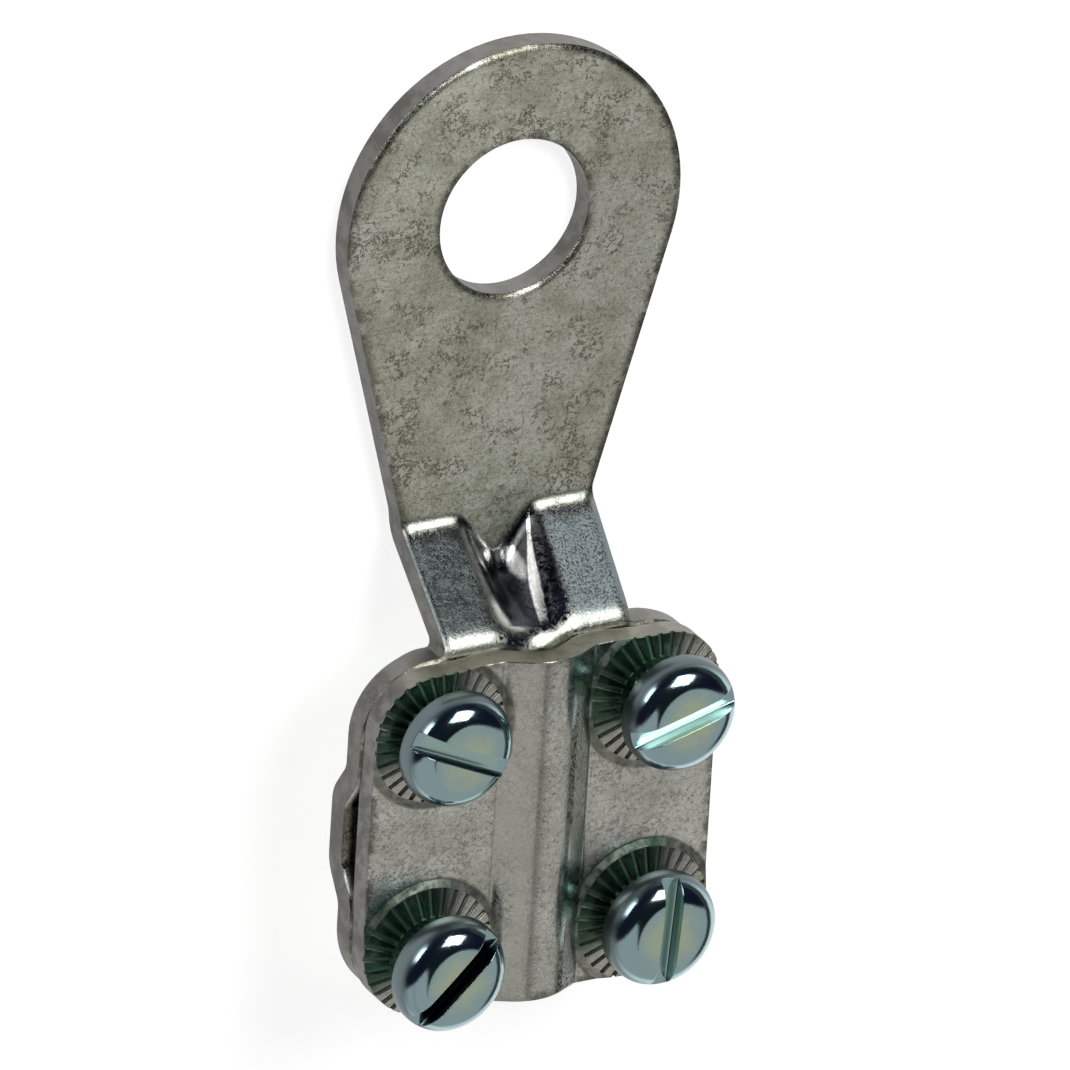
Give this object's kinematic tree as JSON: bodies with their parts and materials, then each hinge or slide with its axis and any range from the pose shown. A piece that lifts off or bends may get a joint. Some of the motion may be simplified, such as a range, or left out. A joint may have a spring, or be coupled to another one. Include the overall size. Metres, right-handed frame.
{
  "type": "grounding cable lug",
  "caption": "Stamped ring-tongue lug for an earthing conductor: the joggled tongue bolts to a stud, and a beaded plate held by slotted pan head screws clamps the conductor on its base.",
  "frame": {"origin": "centre of the stud hole on the tongue's back face, the face that lies on what the lug is bolted to", "axes": "+Z along the stud hole's axis, out of the front face towards the screw heads; +Y from the clamp towards the ring; +X to the right seen from the front with the ring on top"},
  "size_m": [0.0304, 0.0767, 0.0175],
  "materials": {
    "plated_sheet": "dull tin-like plating with fine wear marks",
    "zinc_screw": "bright bluish zinc plating"
  },
  "bodies": {
    "cable_lug": {"cable_lug": "plated_sheet"},
    "clamp_plate": {"clamp_plate": "plated_sheet"},
    "screw_upper_left": {"screw_upper_left": "zinc_screw"},
    "screw_upper_right": {"screw_upper_right": "zinc_screw"},
    "screw_lower_left": {"screw_lower_left": "zinc_screw"},
    "screw_lower_right": {"screw_lower_right": "zinc_screw"}
  },
  "joints": [
    {"name": "clamp_lift", "type": "slide", "parent": "cable_lug", "child": "clamp_plate", "axis": [0, 0, 1], "range_m": [0, 0.0024]},
    {"name": "screw_upper_left_turn", "type": "hinge", "parent": "clamp_plate", "child": "screw_upper_left", "pos_m": [-0.00945, -0.03805, 0.0125], "axis": [0, 0, 1], "range_deg": [0, 1080]},
    {"name": "screw_upper_right_turn", "type": "hinge", "parent": "clamp_plate", "child": "screw_upper_right", "pos_m": [0.00945, -0.03805, 0.0125], "axis": [0, 0, 1], "range_deg": [0, 1080]},
    {"name": "screw_lower_left_turn", "type": "hinge", "parent": "clamp_plate", "child": "screw_lower_left", "pos_m": [-0.00945, -0.05695, 0.0125], "axis": [0, 0, 1], "range_deg": [0, 1080]},
    {"name": "screw_lower_right_turn", "type": "hinge", "parent": "clamp_plate", "child": "screw_lower_right", "pos_m": [0.00945, -0.05695, 0.0125], "axis": [0, 0, 1], "range_deg": [0, 1080]}
  ],
  "couplings": [
    {"joint": "screw_upper_left_turn", "follows": "clamp_lift", "rad_per_m": 7853.9},
    {"joint": "screw_upper_right_turn", "follows": "clamp_lift", "rad_per_m": 7853.9},
    {"joint": "screw_lower_left_turn", "follows": "clamp_lift", "rad_per_m": 7853.9},
    {"joint": "screw_lower_right_turn", "follows": "clamp_lift", "rad_per_m": 7853.9}
  ]
}
